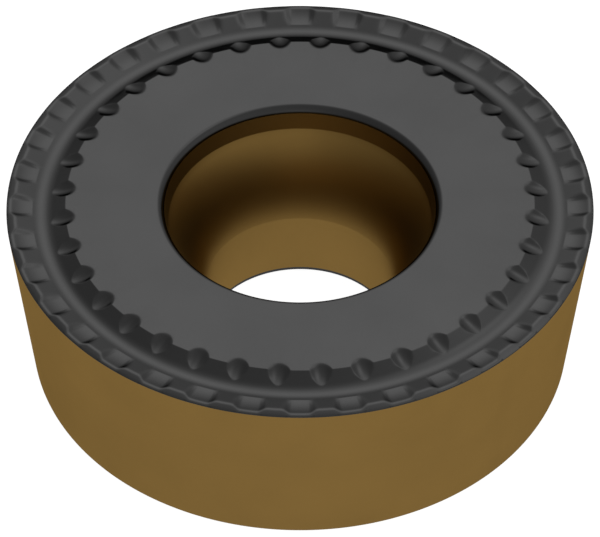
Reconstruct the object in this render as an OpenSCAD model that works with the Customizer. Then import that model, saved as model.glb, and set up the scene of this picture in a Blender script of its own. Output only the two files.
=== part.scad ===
// Round turning insert for a lathe tool, pressed and sintered as one piece of cemented carbide.
// The origin is the centre of the flat seat face underneath, and +Z points at the cutting face.
// Heights on the cutting face are measured from the plane of the cutting edge.

/* [Body] */
// Diameter at the cutting edge
insert_d = 20; // [18:0.1:24]
// Height of the cutting edge above the seat face
thickness = 6.35; // [5.8:0.05:8]
// Clearance angle of the flank, in degrees from the vertical
clearance_angle = 7; // [3:0.5:12]
// Rounding between the flank and the seat face
foot_edge_r = 0.1; // [0.05:0.01:0.4]

/* [Cutting edge and rake] */
// Radial width of the chamfered land behind the cutting edge
edge_land_w = 0.28; // [0.2:0.01:0.34]
// Angle at which that land rises inwards from the cutting edge
edge_land_angle = 16; // [10:0.5:20]
// Rounding of the crest between the land and the rake face
crest_r = 0.25; // [0.1:0.01:0.35]
// Angle at which the rake face falls inwards from the crest
rake_angle = 15; // [12:0.5:18]

/* [Chip groove] */
// Radial distance from the cutting edge to the lowest line of the groove
groove_inset = 1.19; // [1.1:0.01:1.4]
// Radius of the groove's rounded bottom
groove_r = 0.93; // [0.7:0.01:1.1]
// Angle of the straight slope that rises from the groove to the plateau
slope_angle = 26; // [23:0.5:32]
// Height of the flat plateau above the cutting edge
plateau_h = 0.165; // [0.12:0.005:0.22]

/* [Edge pockets] */
// Number of pockets round the cutting edge, and of dimples between them
pocket_count = 36; // [24:1:36]
// Radial distance from the cutting edge to where a pocket's floor leaves the rake face
pocket_inset = 0.885; // [0.8:0.005:0.95]
// Width of the pocket floor
pocket_floor_w = 0.68; // [0.4:0.01:0.75]
// Radius at which the floor curves up towards the cutting edge
pocket_floor_r = 2.4; // [2.2:0.05:3]
// Angle of the side walls to the floor
pocket_wall_angle = 28; // [26:0.5:45]

/* [Plateau dimples] */
// Radius of the round-bottomed dimple in cross section
dimple_r = 0.65; // [0.5:0.01:0.75]
// Radius at which a dimple's floor curves along the insert's radius
dimple_floor_r = 2; // [1.6:0.05:2.4]
// Distance that a dimple reaches inwards over the edge of the plateau
dimple_reach = 0.29; // [0.15:0.005:0.4]
// Depth of a dimple's lowest place below the cutting edge
dimple_depth = 0.08; // [0.04:0.002:0.1]

/* [Screw hole] */
// Diameter of the cylindrical bore
bore_d = 6.5; // [5:0.05:7]
// Length of the cylindrical bore, up from the seat face
bore_h = 2.55; // [1.5:0.05:3.4]
// Rounding between the bore and the seat face
bore_edge_r = 0.15; // [0.05:0.01:0.3]
// Angle between the bore's wall and the curved seat where they meet
head_seat_lead = 6; // [2:0.1:9]
// Diameter at the top of the curved seat
head_seat_d = 9; // [8.4:0.05:9.2]
// Depth of the top of the curved seat below the cutting edge
head_seat_depth = 0.672; // [0.4:0.01:1.2]
// Diameter at the top of the steep cone above the seat
mouth_d = 9.35; // [9.25:0.01:9.6]
// Depth of the top of that cone below the cutting edge
mouth_depth = 0.066; // [0.02:0.002:0.2]
// Diameter of the hole in the plateau, outside its chamfer
chamfer_d = 9.69; // [9.65:0.01:10]

/* [Hidden] */
$fn = 180;

// Roundings are drawn larger by this factor, so that they cross the faces beside them
crossing = 1.0005;
// How far a cutter runs past the face that it opens
over = 1;
// How far the bore and the steep cone run on past the ends of the curved seat between them
seat_overlap = 0.1;

edge_r = insert_d / 2;
bore_r = bore_d / 2;
plateau_z = thickness + plateau_h;
foot_r = edge_r - thickness * tan(clearance_angle);

// Where the land meets the rake face, before the crest is rounded
crest = [edge_r - edge_land_w, thickness + edge_land_w * tan(edge_land_angle)];

// The groove's arc is tangent to the rake face on its outer side and to the slope on its inner side
groove_x = edge_r - groove_inset;
rake_end_x = groove_x + groove_r * sin(rake_angle);
rake_end = [rake_end_x, crest[1] - (crest[0] - rake_end_x) * tan(rake_angle)];
groove_centre = [groove_x, rake_end[1] + groove_r * cos(rake_angle)];
slope_start = groove_centre + groove_r * [-sin(slope_angle), -cos(slope_angle)];
plateau_edge = [slope_start[0] - (plateau_z - slope_start[1]) / tan(slope_angle), plateau_z];

pitch = 360 / pocket_count;
pocket_x = edge_r - pocket_inset;
pocket_floor_z = crest[1] - (crest[0] - pocket_x) * tan(rake_angle);
// Height of the cutter for a pocket, which clears the crest at the pocket's deepest place
pocket_cut_h = 0.2;
// The pocket cutter swings from a few degrees inside the rake face to past the cutting edge
pocket_run_in = 3;
pocket_run_out = 0.3;
pocket_swing = [-pocket_run_in, asin((pocket_inset + pocket_run_out) / pocket_floor_r)];

// The dimple cutter swings from well above the plateau to past the dimple's lowest place
dimple_run_in = 50;
dimple_run_out = 10;
// Height above the plateau of the axis about which it swings
dimple_lift = dimple_floor_r - dimple_depth - plateau_h;
dimple_x = plateau_edge[0] - dimple_reach + sqrt(pow(dimple_floor_r, 2) - pow(dimple_lift, 2));
dimple_z = plateau_z + dimple_lift;

seat_low = [bore_r, bore_h];
seat_top = [head_seat_d / 2, thickness - head_seat_depth];
mouth = [mouth_d / 2, thickness - mouth_depth];
chamfer = [chamfer_d / 2, plateau_z];

// The seat is an arc from the bore to the cone, which bulges towards the axis of the hole
seat_chord = norm(seat_top - seat_low);
seat_chord_angle = atan2(seat_top[0] - seat_low[0], seat_top[1] - seat_low[1]);
head_seat_r = seat_chord / 2 / sin(seat_chord_angle - head_seat_lead);
seat_centre = seat_low + head_seat_r * [cos(head_seat_lead), -sin(head_seat_lead)];

function unit(v) = v / norm(v);

// What is cut off a convex corner p between a and b to leave it rounded with radius r
module corner_cut(a, p, b, r) {
    u = unit(a - p);
    v = unit(b - p);
    middle = unit(u + v);
    half_angle = acos(u * v) / 2;
    reach = r / tan(half_angle);
    difference() {
        polygon([p + reach * u, p - r * middle, p + reach * v]);
        translate(p + r / sin(half_angle) * middle) circle(r * crossing);
    }
}

// Half section of the body without its hole: flank, edge land, rake face, groove, slope and plateau
module body_section() {
    foot = [foot_r, 0];
    cutting_edge = [edge_r, thickness];
    difference() {
        polygon([
            [0, 0], foot, cutting_edge, crest, rake_end,
            slope_start, plateau_edge, [0, plateau_z]
        ]);
        translate(groove_centre) circle(groove_r * crossing);
        corner_cut(cutting_edge, crest, rake_end, crest_r);
        corner_cut([0, 0], foot, cutting_edge, foot_edge_r);
    }
}

// Half section of the hole: bore, curved seat for the screw head, steep cone and chamfer
module hole_section() {
    // The seat's circle takes away what the cone runs on below the seat's upper end
    cone_end = seat_top - seat_overlap * unit(mouth - seat_top);
    low_z = bore_h - seat_overlap;
    translate([0, -over]) square([bore_r, over + bore_h + seat_overlap]);
    difference() {
        polygon([
            [0, low_z], [cone_end[0], low_z], cone_end, mouth, chamfer,
            [chamfer[0], plateau_z + over], [0, plateau_z + over]
        ]);
        translate(seat_centre) circle(head_seat_r);
    }
    corner_cut([bore_r, bore_h], [bore_r, 0], [edge_r, 0], bore_edge_r);
}

// A wheel segment that cuts one pocket: its rim is the curved floor, its flanks are the side walls
module pocket_cutter() {
    flare = pocket_cut_h / tan(pocket_wall_angle);
    half_w = pocket_floor_w / 2;
    low = pocket_floor_r;
    high = pocket_floor_r - pocket_cut_h;
    translate([pocket_x, 0, pocket_floor_z + pocket_floor_r])
        rotate([90, 0, 0])
            rotate([0, 0, -90 + pocket_swing[0]])
                rotate_extrude(angle = pocket_swing[1] - pocket_swing[0])
                    polygon([
                        [high, -half_w - flare], [low, -half_w],
                        [low, half_w], [high, half_w + flare]
                    ]);
}

// A wheel segment with a round rim that cuts one dimple. The rim's circle starts on the side away
// from the part.
module dimple_cutter() {
    translate([dimple_x, 0, dimple_z])
        rotate([90, 0, 0])
            rotate([0, 0, -90 - dimple_run_in])
                rotate_extrude(angle = dimple_run_in + dimple_run_out)
                    translate([dimple_floor_r - dimple_r, 0]) rotate(180) circle(dimple_r);
}

module insert_body() {
    color("dimgray")
        difference() {
            rotate_extrude()
                difference() {
                    body_section();
                    hole_section();
                }
            for (i = [0 : pocket_count - 1]) {
                rotate([0, 0, i * pitch]) pocket_cutter();
                rotate([0, 0, (i + 0.5) * pitch]) dimple_cutter();
            }
        }
}

insert_body();
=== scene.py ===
"""Looks of the round turning insert: its chip former in fine detail, two coatings, light and camera."""

import math

import bpy
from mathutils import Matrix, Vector


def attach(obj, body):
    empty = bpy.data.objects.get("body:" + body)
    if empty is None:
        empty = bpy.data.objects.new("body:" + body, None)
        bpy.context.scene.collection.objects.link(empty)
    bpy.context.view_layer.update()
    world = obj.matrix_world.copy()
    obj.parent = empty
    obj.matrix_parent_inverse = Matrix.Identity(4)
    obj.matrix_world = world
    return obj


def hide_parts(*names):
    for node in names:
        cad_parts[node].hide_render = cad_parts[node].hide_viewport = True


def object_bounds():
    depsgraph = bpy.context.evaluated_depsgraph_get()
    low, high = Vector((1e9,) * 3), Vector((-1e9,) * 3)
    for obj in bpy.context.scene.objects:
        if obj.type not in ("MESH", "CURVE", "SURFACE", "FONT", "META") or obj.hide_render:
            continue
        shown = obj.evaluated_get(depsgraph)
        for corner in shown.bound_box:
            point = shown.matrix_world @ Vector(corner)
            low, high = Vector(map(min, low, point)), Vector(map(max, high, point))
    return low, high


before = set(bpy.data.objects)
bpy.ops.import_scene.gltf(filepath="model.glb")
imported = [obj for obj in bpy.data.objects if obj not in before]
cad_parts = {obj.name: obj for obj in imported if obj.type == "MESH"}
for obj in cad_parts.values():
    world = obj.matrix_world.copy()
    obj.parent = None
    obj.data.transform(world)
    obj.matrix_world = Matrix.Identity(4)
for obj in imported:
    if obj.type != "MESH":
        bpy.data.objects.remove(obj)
CAD_LOW, CAD_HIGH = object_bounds()

# Lengths are in millimetres, and heights on the cutting face count from the plane of the cutting edge.
# A BLEND rounds the corner between two surfaces where their heights differ by less than it.
MM = 0.001

# The body
EDGE_R = CAD_HIGH.x / MM
THICKNESS = 6.35
PLATEAU_H = CAD_HIGH.z / MM - THICKNESS
CLEARANCE = math.radians(7)
FOOT_EDGE_R = 0.1
HONE_R = 0.02

# The edge land, the crest and the rake face
LAND_W = 0.28
LAND_SLOPE = math.tan(math.radians(16))
CREST_R = EDGE_R - LAND_W
CREST_BLEND = 0.05
RAKE = math.radians(15)

# The chip groove and the slope from it to the plateau
GROOVE_R = EDGE_R - 1.19
GROOVE_RADIUS = 0.93
SLOPE = math.radians(26)
PLATEAU_BLEND = 0.008

# Pockets round the cutting edge, and dimples midway between them
COUNT = 36
PITCH = 2 * math.pi / COUNT

# The edge pockets. A floor's inner end is nearly sharp, and the walls' edges are softer. The change lies
# within FLOOR_SIDE_W of the floor's sides.
POCKET_R = EDGE_R - 0.885
POCKET_HALF_W = 0.35
POCKET_RADIUS = 2.4
WALL_SLOPE = math.tan(math.radians(28))
WALL_BLEND = 0.06
FLOOR_END_BLEND = 0.003
FLOOR_SIDE_W = 0.08
# How far inwards of POCKET_R a pocket's blend may reach
POCKET_MARGIN = 0.1
# The crest is looked for from this far inside CREST_R, by halving the range so many times
CREST_MARGIN = 0.1
CREST_HALVINGS = 30

# The dimples over the edge of the plateau. Their rim gets sharper towards their tip, from the first to
# the second of the tip's radii.
DIMPLE_FLOOR_R = 2.0
DIMPLE_SECTION_R = 0.6
DIMPLE_REACH = 0.29
DIMPLE_DEPTH = 0.08
DIMPLE_RIM_BLEND = 0.045
DIMPLE_TIP_BLEND = 0.008
DIMPLE_TIP_RADII = (8.2, 8.35)

# The hole: bore, curved seat and the roundings at the seat's ends
BORE_R = 3.25
BORE_H = 2.55
BORE_EDGE_R = 0.1
SEAT_R = 4.5
SEAT_Z = THICKNESS - 0.672
SEAT_LEAD = math.radians(8.5)
SEAT_TOP_EDGE_R = 0.1
SEAT_FOOT_EDGE_R = 0.05
# The bore's lowest part, up to this height above the seat face, has the grey coating
GREY_FOOT_Z = 0.165

# The mouth bends down from the plateau in arcs: radius, and slope in degrees at its lower end. The grey
# coating ends where the mouth meets the cone.
MOUTH_START_R = 4.888
MOUTH_ARCS = [(0.22, 45), (1.3, 47), (0.3, 78)]

# Columns of the cutting face's mesh, from a pocket's middle to a dimple's middle. The rest of the insert
# has one for every MERGE of them.
HALF_COLUMNS = 16
MERGE = 4
COARSE_COLUMNS = 2 * HALF_COLUMNS * COUNT // MERGE
# Columns crowd within this distance of the edges of a pocket and of a dimple
POCKET_CROWDING = 0.035
DIMPLE_CROWDING = 0.03
# Half the width that they allow a dimple where it is shallow or absent
DIMPLE_LEAST_HALF_W = 0.1
# They follow the dimples up to the first radius and the pockets from the second
COLUMN_TURN_RADII = (GROOVE_R - 0.05, POCKET_R - 0.05)

# Rows of that mesh crowd within these distances of the crest, of a pocket's inner end, of the plateau's
# edge and of a dimple's inner end
CREST_CROWDING = 0.07
POCKET_END_CROWDING = 0.05
PLATEAU_CROWDING = 0.02
DIMPLE_END_CROWDING = 0.04
# How far outwards of the slope's foot and of a dimple's inner end they get closer, and how far inwards
# of that end the last one lies
SLOPE_FOOT_APPROACH = 0.25
DIMPLE_END_APPROACH = 0.12
DIMPLE_END_MARGIN = 0.1
# One more row lies on the plateau, this far outside the mouth
MOUTH_MARGIN = 0.5

# Steps along an arc of the mouth, along the seat's arc, and along the roundings of the seat's ends, of
# the two lower edges and of the cutting edge
MOUTH_STEPS = 5
SEAT_STEPS = 16
SEAT_END_STEPS = 2
LOW_EDGE_STEPS = 4
HONE_STEPS = 3

# The coatings: number of the material, colour as a screen shows it (0 to 255) and roughness
COAT, BRONZE = 0, 1
COAT_COLOUR = (56.5, 56.5, 56.5)
COAT_ROUGHNESS = 0.15
BRONZE_COLOUR = (124, 98, 53)
BRONZE_ROUGHNESS = 0.38

# Their grain: size of the spots, and how far they change the colour, the roughness and the height
BROAD_SPOTS = 1.5
BROAD_DETAIL = 3
FINE_SPOTS = 0.04
FINE_DETAIL = 2
TINT_CHANGE = 0.04
ROUGHNESS_CHANGE = 0.02
GRAIN_H = 0.001
GRAIN_STRENGTH = 0.15
# Most of the noise lies between these values
NOISE_LOW, NOISE_HIGH = 0.3, 0.7

# The floor lies slightly below the seat face, so that the two don't share a plane
FLOOR_SIZE = 40 * EDGE_R
FLOOR_GAP = 0.005
FLOOR_SHADE = 0.2
FLOOR_GLOW = 0.965

# Even light from all round, somewhat stronger from +X
SKY = 0.69
SKY_RIGHT = 0.25

# The light fades towards the horizon: its loss there, and the rise (sine of the elevation) over which
# that loss wears off
HORIZON_LOSS = 0.5
HORIZON_RISE = 0.2

# Soft lamps and dark flags: azimuth from +Y towards +X, elevation, width (degrees), strength
LAMPS = [
    (-6.4, 46, 22.1, 1.895),
    (51.9, 58.8, 13.5, 1.03),
    (-26.6, 47.7, 17, -0.68),
    (-15, 24, 9, -0.12),
    (180, 14, 17, 0.3),
]

# The camera, as fitted to the photograph. The centre of the cutting edge shows at EDGE_CENTRE_PIXEL_Y.
CAMERA_ELEVATION = math.radians(44.471)
CAMERA_DISTANCE = 248.9
FOCAL_PIXELS = 7309
IMAGE_WIDTH, IMAGE_HEIGHT = 600, 537
EDGE_CENTRE_PIXEL_Y = 205.83
SENSOR_WIDTH = 36
CLIP_START, CLIP_END = 10, 10000


# The section of the chip former

def smooth_min(a, b, blend):
    """The lower of two heights, with a rounded corner where they differ by less than blend."""
    near = max(blend - abs(a - b), 0) / blend
    return min(a, b) - near * near * blend / 4


def smooth_max(a, b, blend):
    """The higher of two heights, with a corner rounded in the same way."""
    return -smooth_min(-a, -b, blend)


def ramp(start, end, value):
    """Rises smoothly from 0 at start to 1 at end."""
    t = min(max((value - start) / (end - start), 0), 1)
    return t * t * (3 - 2 * t)


# The groove's arc is tangent to the rake face on its outer side and to the slope on its inner side
CREST_Z = LAND_W * LAND_SLOPE
RAKE_END_R = GROOVE_R + GROOVE_RADIUS * math.sin(RAKE)
RAKE_END_Z = CREST_Z - (CREST_R - RAKE_END_R) * math.tan(RAKE)
GROOVE_CENTRE_Z = RAKE_END_Z + GROOVE_RADIUS * math.cos(RAKE)
SLOPE_END_R = GROOVE_R - GROOVE_RADIUS * math.sin(SLOPE)
SLOPE_END_Z = GROOVE_CENTRE_Z - GROOVE_RADIUS * math.cos(SLOPE)
PLATEAU_R = SLOPE_END_R - (PLATEAU_H - SLOPE_END_Z) / math.tan(SLOPE)
PLATEAU_Z = THICKNESS + PLATEAU_H
POCKET_Z = CREST_Z - (CREST_R - POCKET_R) * math.tan(RAKE)

# A dimple is cut by a wheel, whose axis lies at the radius DIMPLE_R, DIMPLE_LIFT above the plateau
DIMPLE_END_R = PLATEAU_R - DIMPLE_REACH
DIMPLE_LIFT = DIMPLE_FLOOR_R - DIMPLE_DEPTH - PLATEAU_H
DIMPLE_R = DIMPLE_END_R + math.sqrt(DIMPLE_FLOOR_R**2 - DIMPLE_LIFT**2)


def land_height(r):
    """The chamfered land behind the cutting edge, run on past the crest."""
    return (EDGE_R - r) * LAND_SLOPE


def groove_height(r):
    """Rake face, groove, slope and plateau."""
    if r > RAKE_END_R:
        return CREST_Z - (CREST_R - r) * math.tan(RAKE)
    if r > SLOPE_END_R:
        return GROOVE_CENTRE_Z - math.sqrt(GROOVE_RADIUS**2 - (r - GROOVE_R) ** 2)
    rise = SLOPE_END_Z + (SLOPE_END_R - r) * math.tan(SLOPE)
    return smooth_min(rise, PLATEAU_H, PLATEAU_BLEND)


def pocket_floor(along):
    """Height of a pocket's floor, which leaves the rake face level and curves up towards the edge."""
    past = max(along - POCKET_R, 0)
    return POCKET_Z + POCKET_RADIUS - math.sqrt(POCKET_RADIUS**2 - past * past)


def pocket_height(along, across):
    """A pocket's floor and side walls."""
    wall = (abs(across) - POCKET_HALF_W) * WALL_SLOPE
    return pocket_floor(along) + smooth_max(wall, 0, WALL_BLEND)


def dimple_height(along, across):
    """The mark of a wheel with a round rim."""
    across = min(abs(across), DIMPLE_SECTION_R)
    rim = DIMPLE_FLOOR_R - DIMPLE_SECTION_R + math.sqrt(DIMPLE_SECTION_R**2 - across * across)
    return DIMPLE_FLOOR_R - DIMPLE_DEPTH - math.sqrt(rim * rim - (DIMPLE_R - along) ** 2)


def inner_height(r, angle):
    """Height of all that lies inside the crest, at an angle from the nearest pocket's middle."""
    z = groove_height(r)
    if r > POCKET_R - POCKET_MARGIN:
        across = r * math.sin(angle)
        beside_floor = ramp(POCKET_HALF_W - FLOOR_SIDE_W, POCKET_HALF_W + FLOOR_SIDE_W, abs(across))
        blend = FLOOR_END_BLEND + (WALL_BLEND - FLOOR_END_BLEND) * beside_floor
        z = smooth_min(z, pocket_height(r * math.cos(angle), across), blend)
    if r < GROOVE_R:
        beside = PITCH / 2 - abs(angle)
        blend = DIMPLE_RIM_BLEND + (DIMPLE_TIP_BLEND - DIMPLE_RIM_BLEND) * ramp(*DIMPLE_TIP_RADII, r)
        z = smooth_min(z, dimple_height(r * math.cos(beside), r * math.sin(beside)), blend)
    return z


def face_height(r, angle):
    """Height of the cutting face above the cutting edge."""
    z = inner_height(r, angle)
    return smooth_min(z, land_height(r), CREST_BLEND) if r > POCKET_R else z


def crest_radius(angle):
    """Where the land meets the rake face, a wall or a pocket's floor, found by halving the range."""
    low, high = CREST_R - CREST_MARGIN, EDGE_R
    for _ in range(CREST_HALVINGS):
        middle = (low + high) / 2
        if inner_height(middle, angle) < land_height(middle):
            low = middle
        else:
            high = middle
    return low


# The fine mesh of the chip former

def interpolate(marks, value):
    """The value's place on the line through the marks."""
    for (x0, y0), (x1, y1) in zip(marks, marks[1:]):
        if value <= x1:
            break
    return y0 + (y1 - y0) * (value - x0) / (x1 - x0)


def pocket_columns(r):
    """Angles of the columns, which lie closest along a pocket's floor edge and its wall's upper edge."""
    inside = min(r, CREST_R)
    depth = max(groove_height(inside) - pocket_floor(inside), 0)
    opening = POCKET_HALF_W + max(depth / WALL_SLOPE, 3 * POCKET_CROWDING)
    # Number of a column, and its distance from the pocket's middle
    marks = [
        (0, 0),
        (2, POCKET_HALF_W - 2 * POCKET_CROWDING),
        (6, POCKET_HALF_W + POCKET_CROWDING),
        (7, opening - POCKET_CROWDING),
        (11, opening + POCKET_CROWDING),
        (HALF_COLUMNS, r * PITCH / 2),
    ]
    return [interpolate(marks, k) / r for k in range(HALF_COLUMNS + 1)]


def dimple_columns(r):
    """Angles of the columns, which lie closest along the rim of a dimple."""
    depth = max(groove_height(r) - dimple_height(r, 0), 0)
    rim = max(math.sqrt(2 * DIMPLE_SECTION_R * depth), DIMPLE_LEAST_HALF_W)
    # Number of a column, and its distance from the dimple's middle
    marks = [
        (0, r * PITCH / 2),
        (5, rim + DIMPLE_CROWDING),
        (9, rim - DIMPLE_CROWDING),
        (HALF_COLUMNS, 0),
    ]
    return [PITCH / 2 - interpolate(marks, k) / r for k in range(HALF_COLUMNS + 1)]


def columns(r):
    """Angles of the columns from a pocket's middle to a dimple's middle."""
    share = ramp(*COLUMN_TURN_RADII, r)
    pairs = zip(pocket_columns(r), dimple_columns(r))
    return [pocket * share + dimple * (1 - share) for pocket, dimple in pairs]


def face_rows():
    """Radii of the rows where the crest runs straight, from the cutting edge inwards to the plateau."""
    # Where a stretch of rows starts, and its number of rows
    stretches = [
        (EDGE_R - HONE_R, 2),
        (CREST_R + CREST_CROWDING, 7),
        (CREST_R - CREST_CROWDING, 12),
        (POCKET_R + POCKET_END_CROWDING, 5),
        (POCKET_R - POCKET_END_CROWDING, 7),
        (SLOPE_END_R + SLOPE_FOOT_APPROACH, 10),
        (SLOPE_END_R, 9),
        (PLATEAU_R + PLATEAU_CROWDING, 3),
        (PLATEAU_R - PLATEAU_CROWDING, 5),
        (DIMPLE_END_R + DIMPLE_END_APPROACH, 7),
        (DIMPLE_END_R - DIMPLE_END_CROWDING, 1),
        (DIMPLE_END_R - DIMPLE_END_MARGIN, 1),
    ]
    rows = []
    for (start, count), (end, _) in zip(stretches, stretches[1:]):
        rows += [start + (end - start) * i / count for i in range(count)]
    return rows + [stretches[-1][0]]


def follow_crest(r, crest):
    """Moves a row with the crest, which runs further out across a pocket."""
    inner, outer = CREST_R - CREST_CROWDING, CREST_R + CREST_CROWDING
    shift = crest - CREST_R
    moved = [(inner, inner + shift), (outer, outer + shift)]
    return interpolate([(0, 0), (POCKET_R, POCKET_R), *moved, (EDGE_R, EDGE_R)], r)


def face_ring(row):
    """One ring of points on the cutting face, worked out for half a pitch and repeated round it."""
    half = []
    for angle in columns(row):
        r = follow_crest(row, crest_radius(angle)) if row > POCKET_R else row
        half.append((angle, r, THICKNESS + face_height(r, angle)))
    pitch = half + [(PITCH - angle, r, z) for angle, r, z in reversed(half[1:-1])]
    return [(angle + i * PITCH, r, z) for i in range(COUNT) for angle, r, z in pitch]


# The plain rings of the hole, the seat face and the flank

def fillet(before, corner, after, radius, count):
    """Points along the rounding of a corner of the section."""
    corner, before, after = Vector(corner), Vector(before), Vector(after)
    u, v = (before - corner).normalized(), (after - corner).normalized()
    half = u.angle(v) / 2
    centre = corner + (u + v).normalized() * radius / math.sin(half)
    start = corner + u * radius / math.tan(half) - centre
    end = corner + v * radius / math.tan(half) - centre
    turn = start.angle(end)
    points = []
    for i in range(count + 1):
        t = i / count
        place = centre + (start * math.sin((1 - t) * turn) + end * math.sin(t * turn)) / math.sin(turn)
        points.append((place.x, place.y))
    return points


def seat_arc(count):
    """The seat's section, from its upper edge down to the bore, which bulges towards the hole's axis."""
    low, top = Vector((BORE_R, BORE_H)), Vector((SEAT_R, SEAT_Z))
    chord = top - low
    lean = math.atan2(chord.x, chord.y)
    radius = chord.length / 2 / math.sin(lean - SEAT_LEAD)
    centre = low + radius * Vector((math.cos(SEAT_LEAD), -math.sin(SEAT_LEAD)))
    upper_lean = 2 * lean - SEAT_LEAD
    points = []
    for i in range(count + 1):
        lean_here = upper_lean + (SEAT_LEAD - upper_lean) * i / count
        points.append((centre.x - radius * math.cos(lean_here), centre.y + radius * math.sin(lean_here)))
    return points


def mouth_points(count):
    """Points down the mouth, from the plateau to the cone."""
    r, z, before = MOUTH_START_R, PLATEAU_Z, 0
    points = [(r, z)]
    for radius, slope in MOUTH_ARCS:
        for i in range(1, count + 1):
            lean = before + (math.radians(slope) - before) * i / count
            inwards = radius * (math.sin(lean) - math.sin(before))
            down = radius * (math.cos(before) - math.cos(lean))
            points.append((r - inwards, z - down))
        (r, z), before = points[-1], math.radians(slope)
    return points


def plain_rows():
    """Points of the section from the plateau down the hole, along the seat face and up the flank.

    Each is (r, z, coating of the band that follows).
    """
    seat, bore_foot = (SEAT_R, SEAT_Z), (BORE_R, 0)
    foot = (EDGE_R - THICKNESS * math.tan(CLEARANCE), 0)
    edge = (EDGE_R, THICKNESS)
    land = (CREST_R, THICKNESS + CREST_Z)
    *mouth, cone_top = mouth_points(MOUTH_STEPS)
    arc = seat_arc(SEAT_STEPS)
    stretches = [
        (COAT, [(MOUTH_START_R + MOUTH_MARGIN, PLATEAU_Z)]),
        (COAT, mouth),
        (BRONZE, [cone_top]),
        (BRONZE, fillet(cone_top, seat, arc[1], SEAT_TOP_EDGE_R, SEAT_END_STEPS)),
        (BRONZE, arc[1:-1]),
        (BRONZE, fillet(arc[-2], arc[-1], bore_foot, SEAT_FOOT_EDGE_R, SEAT_END_STEPS)),
        (COAT, [(BORE_R, GREY_FOOT_Z)]),
        (COAT, fillet((BORE_R, BORE_H), bore_foot, foot, BORE_EDGE_R, LOW_EDGE_STEPS)),
        (BRONZE, fillet(bore_foot, foot, edge, FOOT_EDGE_R, LOW_EDGE_STEPS)),
        (COAT, fillet(foot, edge, land, HONE_R, HONE_STEPS)[:-1]),
    ]
    return [(r, z, coating) for coating, points in stretches for r, z in points]


def plain_ring(r, z):
    """One evenly spaced ring of points."""
    return [(i * 2 * math.pi / COARSE_COLUMNS, r, z) for i in range(COARSE_COLUMNS)]


# One closed mesh

def band(upper, lower):
    """Faces between two rings of point numbers. The upper ring may have several points to one below."""
    share = len(upper) // len(lower)
    faces = []
    for i in range(len(lower)):
        above = [upper[(i * share + j) % len(upper)] for j in range(share + 1)]
        faces.append([*above, lower[(i + 1) % len(lower)], lower[i]])
    return faces


def insert_mesh():
    """The insert as one closed mesh, ring after ring: cutting face, hole, seat face, flank and edge."""
    fine = [face_ring(row) for row in face_rows()]
    plain = plain_rows()
    rings = fine + [plain_ring(r, z) for r, z, _ in plain]
    coatings = [COAT] * len(fine) + [coating for _, _, coating in plain]
    points, numbers = [], []
    for ring in rings:
        numbers.append(range(len(points), len(points) + len(ring)))
        points += [(r * math.cos(a) * MM, r * math.sin(a) * MM, z * MM) for a, r, z in ring]
    faces, materials = [], []
    for i, coating in enumerate(coatings):
        this, following = numbers[i], numbers[(i + 1) % len(rings)]
        if len(this) < len(following):
            made = [face[::-1] for face in band(following, this)]
        else:
            made = band(this, following)
        faces += made
        materials += [coating] * len(made)
    mesh = bpy.data.meshes.new("insert_body_fine")
    mesh.from_pydata(points, [], faces)
    mesh.polygons.foreach_set("material_index", materials)
    mesh.polygons.foreach_set("use_smooth", [True] * len(faces))
    mesh.update()
    return mesh


# Materials

def new_material(name):
    material = bpy.data.materials.new(name)
    material.use_nodes = True
    return material, material.node_tree.nodes, material.node_tree.links


def math_node(nodes, links, operation, first, second=None):
    """A math node on one value, or on a value and a number or a second value."""
    node = nodes.new("ShaderNodeMath")
    node.operation = operation
    links.new(first, node.inputs[0])
    if isinstance(second, (int, float)):
        node.inputs[1].default_value = second
    elif second is not None:
        links.new(second, node.inputs[1])
    return node.outputs["Value"]


def grain(nodes, links, size, detail):
    """Even noise over the surface, with spots of about the given size: half of one period of the noise."""
    place = nodes.new("ShaderNodeTexCoord")
    noise = nodes.new("ShaderNodeTexNoise")
    noise.inputs["Scale"].default_value = 0.5 / (size * MM)
    noise.inputs["Detail"].default_value = detail
    links.new(place.outputs["Object"], noise.inputs["Vector"])
    return noise.outputs["Fac"]


def spread(nodes, links, value, low, high):
    """Maps noise to a range."""
    span = nodes.new("ShaderNodeMapRange")
    span.inputs["From Min"].default_value = NOISE_LOW
    span.inputs["From Max"].default_value = NOISE_HIGH
    span.inputs["To Min"].default_value = low
    span.inputs["To Max"].default_value = high
    links.new(value, span.inputs["Value"])
    return span.outputs["Result"]


def linear(colour):
    """The renderer's linear values of a colour as a screen shows it."""
    return [((c / 255 + 0.055) / 1.055) ** 2.4 for c in colour]


def coating_material(name, screen_colour, roughness):
    """A thin hard coating over carbide: metallic, satin, with fine grain in colour, gloss and height."""
    material, nodes, links = new_material(name)
    nodes.remove(nodes["Principled BSDF"])
    shader = nodes.new("ShaderNodeBsdfAnisotropic")
    links.new(shader.outputs["BSDF"], nodes["Material Output"].inputs["Surface"])
    fine = grain(nodes, links, FINE_SPOTS, FINE_DETAIL)
    broad = grain(nodes, links, BROAD_SPOTS, BROAD_DETAIL)
    colour = linear(screen_colour)
    tint = nodes.new("ShaderNodeMix")
    tint.data_type = "RGBA"
    tint.inputs["A"].default_value = [c * (1 - TINT_CHANGE) for c in colour] + [1]
    tint.inputs["B"].default_value = [c * (1 + TINT_CHANGE) for c in colour] + [1]
    links.new(spread(nodes, links, broad, 0, 1), tint.inputs["Factor"])
    links.new(tint.outputs["Result"], shader.inputs["Color"])
    satin = spread(nodes, links, fine, roughness - ROUGHNESS_CHANGE, roughness + ROUGHNESS_CHANGE)
    links.new(satin, shader.inputs["Roughness"])
    bump = nodes.new("ShaderNodeBump")
    bump.inputs["Strength"].default_value = GRAIN_STRENGTH
    bump.inputs["Distance"].default_value = GRAIN_H * MM
    links.new(fine, bump.inputs["Height"])
    links.new(bump.outputs["Normal"], shader.inputs["Normal"])
    return material


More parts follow.
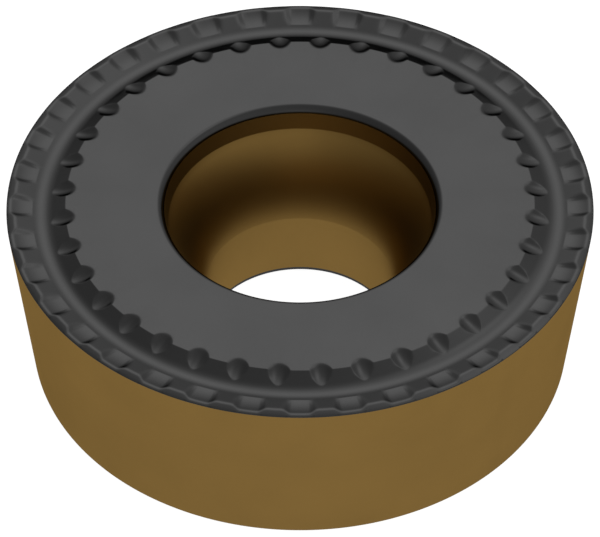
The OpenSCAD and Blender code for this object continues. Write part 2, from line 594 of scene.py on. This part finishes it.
def floor_material():
    """White floor: the sky lights it, and its own glow makes it as white as the photograph's ground."""
    material, nodes, links = new_material("floor_white")
    nodes.clear()
    matt = nodes.new("ShaderNodeBsdfDiffuse")
    matt.inputs["Color"].default_value = (FLOOR_SHADE, FLOOR_SHADE, FLOOR_SHADE, 1)
    glow = nodes.new("ShaderNodeEmission")
    ray = nodes.new("ShaderNodeLightPath").outputs
    mirrored = math_node(nodes, links, "MAXIMUM", ray["Is Glossy Ray"], ray["Is Transmission Ray"])
    seen = math_node(nodes, links, "MAXIMUM", ray["Is Camera Ray"], mirrored)
    links.new(math_node(nodes, links, "MULTIPLY", seen, FLOOR_GLOW), glow.inputs["Strength"])
    both = nodes.new("ShaderNodeAddShader")
    output = nodes.new("ShaderNodeOutputMaterial")
    links.new(matt.outputs["BSDF"], both.inputs[0])
    links.new(glow.outputs["Emission"], both.inputs[1])
    links.new(both.outputs["Shader"], output.inputs["Surface"])
    return material


# Insert, floor, light and camera

def make_insert():
    insert = bpy.data.objects.new("insert_body_fine", insert_mesh())
    bpy.context.collection.objects.link(insert)
    insert.data.materials.append(coating_material("coating_dark_grey", COAT_COLOUR, COAT_ROUGHNESS))
    insert.data.materials.append(coating_material("coating_bronze", BRONZE_COLOUR, BRONZE_ROUGHNESS))
    insert.modifiers.new("face_weighted_normals", "WEIGHTED_NORMAL")
    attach(insert, "root")
    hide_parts("insert_body")


def make_floor():
    half, z = FLOOR_SIZE * MM / 2, -FLOOR_GAP * MM
    mesh = bpy.data.meshes.new("floor")
    corners = [(-half, -half, z), (half, -half, z), (half, half, z), (-half, half, z)]
    mesh.from_pydata(corners, [], [(0, 1, 2, 3)])
    mesh.materials.append(floor_material())
    floor = bpy.data.objects.new("floor", mesh)
    bpy.context.collection.objects.link(floor)


def make_sky():
    """Soft studio light: each lamp is a round glow in the sky that fades evenly from its middle."""
    world = bpy.data.worlds.new("studio")
    bpy.context.scene.world = world
    world.use_nodes = True
    nodes, links = world.node_tree.nodes, world.node_tree.links

    def calculate(*terms):
        return math_node(nodes, links, *terms)

    direction = nodes.new("ShaderNodeTexCoord").outputs["Generated"]
    apart = nodes.new("ShaderNodeSeparateXYZ")
    links.new(direction, apart.inputs["Vector"])
    total = calculate("ADD", calculate("MULTIPLY", apart.outputs["X"], SKY_RIGHT), SKY)
    for azimuth, elevation, width, strength in LAMPS:
        azimuth, elevation, width = (math.radians(a) for a in (azimuth, elevation, width))
        flat = math.cos(elevation)
        middle = (flat * math.sin(azimuth), flat * math.cos(azimuth), math.sin(elevation))
        facing = nodes.new("ShaderNodeVectorMath")
        facing.operation = "DOT_PRODUCT"
        facing.inputs[1].default_value = middle
        links.new(direction, facing.inputs[0])
        away = calculate("SUBTRACT", facing.outputs["Value"], 1.0)
        fall = calculate("MULTIPLY", away, 2 / width**2)
        glow = calculate("MULTIPLY", calculate("EXPONENT", fall), strength)
        total = calculate("ADD", total, glow)
    rise = calculate("DIVIDE", apart.outputs["Z"], HORIZON_RISE)
    fall = calculate("MULTIPLY", calculate("MULTIPLY", rise, rise), -1.0)
    loss = calculate("MULTIPLY", calculate("EXPONENT", fall), -HORIZON_LOSS)
    total = calculate("MULTIPLY", total, calculate("ADD", loss, 1.0))
    background = nodes["Background"]
    background.inputs["Color"].default_value = (1, 1, 1, 1)
    links.new(total, background.inputs["Strength"])


def make_camera():
    """The camera faces the centre of the cutting edge from the front, and is then tipped down a little."""
    data = bpy.data.cameras.new("camera")
    data.sensor_width = SENSOR_WIDTH
    data.lens = FOCAL_PIXELS / IMAGE_WIDTH * SENSOR_WIDTH
    data.clip_start = CLIP_START * MM
    data.clip_end = CLIP_END * MM
    camera = bpy.data.objects.new("camera", data)
    away = Vector((0, -math.cos(CAMERA_ELEVATION), math.sin(CAMERA_ELEVATION)))
    camera.location = (Vector((0, 0, THICKNESS)) + away * CAMERA_DISTANCE) * MM
    tip = math.atan((IMAGE_HEIGHT / 2 - EDGE_CENTRE_PIXEL_Y) / FOCAL_PIXELS)
    camera.rotation_euler = (math.pi / 2 - CAMERA_ELEVATION - tip, 0, 0)
    bpy.context.collection.objects.link(camera)
    bpy.context.scene.camera = camera


make_insert()
make_floor()
make_sky()
make_camera()

scene = bpy.context.scene
scene.view_settings.view_transform = "Standard"
